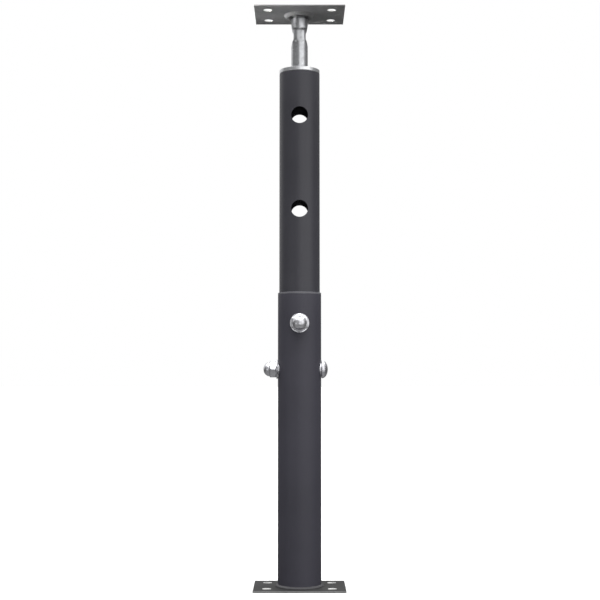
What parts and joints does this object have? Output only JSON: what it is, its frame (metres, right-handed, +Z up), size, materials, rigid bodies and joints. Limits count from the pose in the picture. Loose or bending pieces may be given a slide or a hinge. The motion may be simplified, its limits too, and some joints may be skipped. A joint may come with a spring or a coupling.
{
  "type": "adjustable steel jack post",
  "caption": "Telescoping steel support post with bolted cross pins, a jack screw with a turning-bar eye, and drilled bearing plates at both ends.",
  "frame": {"origin": "centre of the base plate's underside, on the tubes' axis", "axes": "+Z up along the post, -Y the front, where the upper cap nut faces, +X the side of the lower pin's head"},
  "size_m": [0.16, 0.1204, 1.016],
  "materials": {
    "charcoal_powder_coat": "satin powder coat",
    "base_plate_steel": "coated pressed steel, slightly mottled",
    "top_plate_steel": "dull mill-finish pressed steel",
    "bright_zinc": "bright zinc plate",
    "screw_zinc": "zinc-plated rolled bar"
  },
  "bodies": {
    "post_base": {"base_plate": "base_plate_steel", "foot_weld": "charcoal_powder_coat", "outer_tube": "charcoal_powder_coat"},
    "inner_post": {"inner_tube": "charcoal_powder_coat", "collar_nut": "bright_zinc"},
    "head": {"top_plate": "top_plate_steel"},
    "screw": {"jack_screw": "screw_zinc"},
    "upper_pin": {"upper_pin": "bright_zinc"},
    "upper_washer": {"upper_pin_washer": "bright_zinc"},
    "upper_nut": {"upper_cap_nut": "bright_zinc"},
    "lower_pin": {"lower_pin": "bright_zinc"},
    "lower_washer": {"lower_pin_washer": "bright_zinc"},
    "lower_nut": {"lower_cap_nut": "bright_zinc"}
  },
  "joints": [
    {"name": "tube_slide", "type": "slide", "parent": "post_base", "child": "inner_post", "axis": [0, 0, 1], "range_m": [0, 0.0035]},
    {"name": "screw_lift", "type": "slide", "parent": "inner_post", "child": "head", "axis": [0, 0, 1], "range_m": [-0.034, 0.034]},
    {"name": "screw_turn", "type": "hinge", "parent": "head", "child": "screw", "pos_m": [0, 0, 0.93], "axis": [0, 0, 1], "range_deg": [-1928.6, 1928.6]},
    {"name": "upper_pin_pull", "type": "slide", "parent": "post_base", "child": "upper_pin", "axis": [0, 1, 0], "range_m": [0, 0.1]},
    {"name": "upper_nut_run", "type": "slide", "parent": "post_base", "child": "upper_washer", "axis": [0, -1, 0], "range_m": [0, 0.016]},
    {"name": "upper_nut_turn", "type": "hinge", "parent": "upper_washer", "child": "upper_nut", "pos_m": [0, -0.05, 0.4592], "axis": [0, -1, 0], "range_deg": [-5, 2268.7]},
    {"name": "lower_pin_pull", "type": "slide", "parent": "post_base", "child": "lower_pin", "axis": [1, 0, 0], "range_m": [0, 0.1]},
    {"name": "lower_nut_run", "type": "slide", "parent": "post_base", "child": "lower_washer", "axis": [-1, 0, 0], "range_m": [0, 0.016]},
    {"name": "lower_nut_turn", "type": "hinge", "parent": "lower_washer", "child": "lower_nut", "pos_m": [-0.05, 0, 0.3793], "axis": [-1, 0, 0], "range_deg": [-5, 2268.7]}
  ],
  "couplings": [
    {"joint": "screw_turn", "follows": "screw_lift", "rad_per_m": 989.48},
    {"joint": "upper_nut_turn", "follows": "upper_nut_run", "rad_per_m": 2473.7},
    {"joint": "lower_nut_turn", "follows": "lower_nut_run", "rad_per_m": 2473.7}
  ]
}
